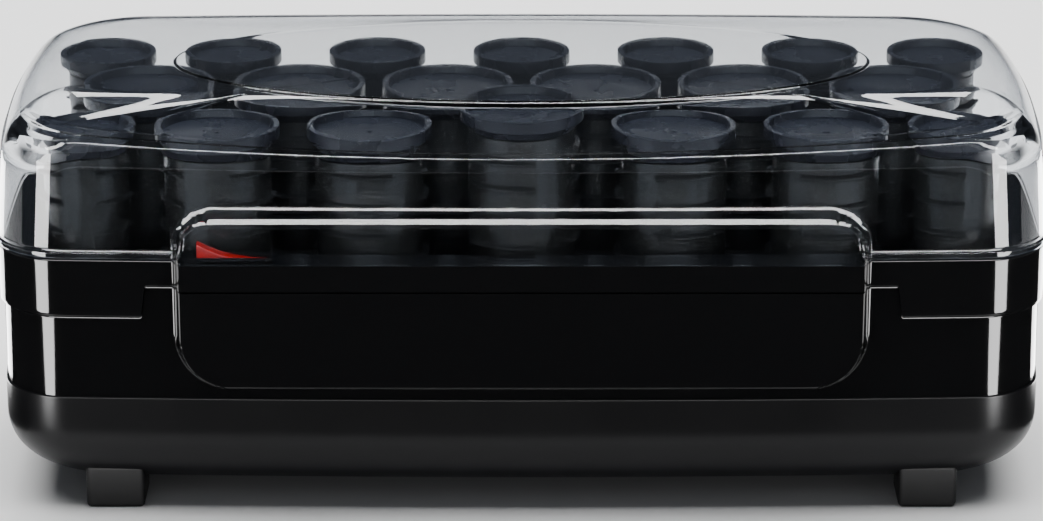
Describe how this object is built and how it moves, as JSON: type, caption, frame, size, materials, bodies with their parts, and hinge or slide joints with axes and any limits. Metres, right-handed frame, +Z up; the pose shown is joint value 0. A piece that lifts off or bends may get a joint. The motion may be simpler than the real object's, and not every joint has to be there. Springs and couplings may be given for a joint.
{
  "type": "heated hair roller set",
  "caption": "Heated roller set: low black case on feet, heated posts carrying ribbed hair rollers with dished caps, rocker switch and clear hinged lid.",
  "frame": {"origin": "middle of the case on the surface that it stands on", "axes": "+X along the case to the user's right, +Y to the rear where the lid is hinged, +Z up"},
  "size_m": [0.3496, 0.152, 0.141],
  "materials": {
    "clear_lid": "polished clear",
    "gloss_black": "high gloss",
    "satin_black": "satin",
    "roller_barrel": "satin",
    "roller_cap": "satin",
    "rocker_red": "gloss",
    "aluminium": "cast and turned",
    "steel": "drawn",
    "rubber": "matt",
    "ceramic": "unglazed"
  },
  "bodies": {
    "case": {"hinge_pin_left": "steel", "hinge_pin_right": "steel", "switch_housing": "gloss_black", "top_bezel": "gloss_black", "body_shell": "gloss_black", "cord_inlet_bush": "rubber", "bottom_pan": "satin_black", "foot_front_left": "rubber", "foot_front_right": "rubber", "foot_rear_left": "rubber", "foot_rear_right": "rubber", "deck_plate": "satin_black", "heating_plate": "aluminium", "heat_tray": "steel", "heating_element": "steel", "thermostat": "ceramic", "thermal_fuse": "ceramic", "terminal_block": "ceramic"},
    "lid": {"lid_shell": "clear_lid"},
    "rocker": {"switch_rocker": "rocker_red"},
    "roller_front_1": {"roller_front_1_barrel": "roller_barrel", "roller_front_1_cap": "roller_cap"},
    "roller_front_2": {"roller_front_2_barrel": "roller_barrel", "roller_front_2_cap": "roller_cap"},
    "roller_front_3": {"roller_front_3_barrel": "roller_barrel", "roller_front_3_cap": "roller_cap"},
    "roller_front_4": {"roller_front_4_barrel": "roller_barrel", "roller_front_4_cap": "roller_cap"},
    "roller_front_5": {"roller_front_5_barrel": "roller_barrel", "roller_front_5_cap": "roller_cap"},
    "roller_front_6": {"roller_front_6_barrel": "roller_barrel", "roller_front_6_cap": "roller_cap"},
    "roller_front_7": {"roller_front_7_barrel": "roller_barrel", "roller_front_7_cap": "roller_cap"},
    "roller_middle_1": {"roller_middle_1_barrel": "roller_barrel", "roller_middle_1_cap": "roller_cap"},
    "roller_middle_2": {"roller_middle_2_barrel": "roller_barrel", "roller_middle_2_cap": "roller_cap"},
    "roller_middle_3": {"roller_middle_3_barrel": "roller_barrel", "roller_middle_3_cap": "roller_cap"},
    "roller_middle_4": {"roller_middle_4_barrel": "roller_barrel", "roller_middle_4_cap": "roller_cap"},
    "roller_middle_5": {"roller_middle_5_barrel": "roller_barrel", "roller_middle_5_cap": "roller_cap"},
    "roller_middle_6": {"roller_middle_6_barrel": "roller_barrel", "roller_middle_6_cap": "roller_cap"},
    "roller_rear_1": {"roller_rear_1_barrel": "roller_barrel", "roller_rear_1_cap": "roller_cap"},
    "roller_rear_2": {"roller_rear_2_barrel": "roller_barrel", "roller_rear_2_cap": "roller_cap"},
    "roller_rear_3": {"roller_rear_3_barrel": "roller_barrel", "roller_rear_3_cap": "roller_cap"},
    "roller_rear_4": {"roller_rear_4_barrel": "roller_barrel", "roller_rear_4_cap": "roller_cap"},
    "roller_rear_5": {"roller_rear_5_barrel": "roller_barrel", "roller_rear_5_cap": "roller_cap"},
    "roller_rear_6": {"roller_rear_6_barrel": "roller_barrel", "roller_rear_6_cap": "roller_cap"},
    "roller_rear_7": {"roller_rear_7_barrel": "roller_barrel", "roller_rear_7_cap": "roller_cap"}
  },
  "joints": [
    {"name": "lid_hinge", "type": "hinge", "parent": "case", "child": "lid", "pos_m": [0, 0.0731, 0.09], "axis": [-1, 0, 0], "range_deg": [0, 100]},
    {"name": "rocker_tilt", "type": "hinge", "parent": "case", "child": "rocker", "pos_m": [-0.0941, -0.06915, 0.0918], "axis": [0, 1, 0], "range_deg": [-24, 0]},
    {"name": "roller_front_1_lift", "type": "slide", "parent": "case", "child": "roller_front_1", "axis": [0, 0, 1], "range_m": [0, 0.002]},
    {"name": "roller_front_2_lift", "type": "slide", "parent": "case", "child": "roller_front_2", "axis": [0, 0, 1], "range_m": [0, 0.002]},
    {"name": "roller_front_3_lift", "type": "slide", "parent": "case", "child": "roller_front_3", "axis": [0, 0, 1], "range_m": [0, 0.0025]},
    {"name": "roller_front_4_lift", "type": "slide", "parent": "case", "child": "roller_front_4", "axis": [0, 0, 1], "range_m": [0, 0.001]},
    {"name": "roller_front_5_lift", "type": "slide", "parent": "case", "child": "roller_front_5", "axis": [0, 0, 1], "range_m": [0, 0.0025]},
    {"name": "roller_front_6_lift", "type": "slide", "parent": "case", "child": "roller_front_6", "axis": [0, 0, 1], "range_m": [0, 0.002]},
    {"name": "roller_front_7_lift", "type": "slide", "parent": "case", "child": "roller_front_7", "axis": [0, 0, 1], "range_m": [0, 0.002]},
    {"name": "roller_middle_1_lift", "type": "slide", "parent": "case", "child": "roller_middle_1", "axis": [0, 0, 1], "range_m": [0, 0.008]},
    {"name": "roller_middle_2_lift", "type": "slide", "parent": "case", "child": "roller_middle_2", "axis": [0, 0, 1], "range_m": [0, 0.008]},
    {"name": "roller_middle_3_lift", "type": "slide", "parent": "case", "child": "roller_middle_3", "axis": [0, 0, 1], "range_m": [0, 0.008]},
    {"name": "roller_middle_4_lift", "type": "slide", "parent": "case", "child": "roller_middle_4", "axis": [0, 0, 1], "range_m": [0, 0.008]},
    {"name": "roller_middle_5_lift", "type": "slide", "parent": "case", "child": "roller_middle_5", "axis": [0, 0, 1], "range_m": [0, 0.008]},
    {"name": "roller_middle_6_lift", "type": "slide", "parent": "case", "child": "roller_middle_6", "axis": [0, 0, 1], "range_m": [0, 0.008]},
    {"name": "roller_rear_1_lift", "type": "slide", "parent": "case", "child": "roller_rear_1", "axis": [0, 0, 1], "range_m": [0, 0.001]},
    {"name": "roller_rear_2_lift", "type": "slide", "parent": "case", "child": "roller_rear_2", "axis": [0, 0, 1], "range_m": [0, 0.003]},
    {"name": "roller_rear_3_lift", "type": "slide", "parent": "case", "child": "roller_rear_3", "axis": [0, 0, 1], "range_m": [0, 0.0045]},
    {"name": "roller_rear_4_lift", "type": "slide", "parent": "case", "child": "roller_rear_4", "axis": [0, 0, 1], "range_m": [0, 0.0045]},
    {"name": "roller_rear_5_lift", "type": "slide", "parent": "case", "child": "roller_rear_5", "axis": [0, 0, 1], "range_m": [0, 0.0045]},
    {"name": "roller_rear_6_lift", "type": "slide", "parent": "case", "child": "roller_rear_6", "axis": [0, 0, 1], "range_m": [0, 0.003]},
    {"name": "roller_rear_7_lift", "type": "slide", "parent": "case", "child": "roller_rear_7", "axis": [0, 0, 1], "range_m": [0, 0.001]}
  ]
}
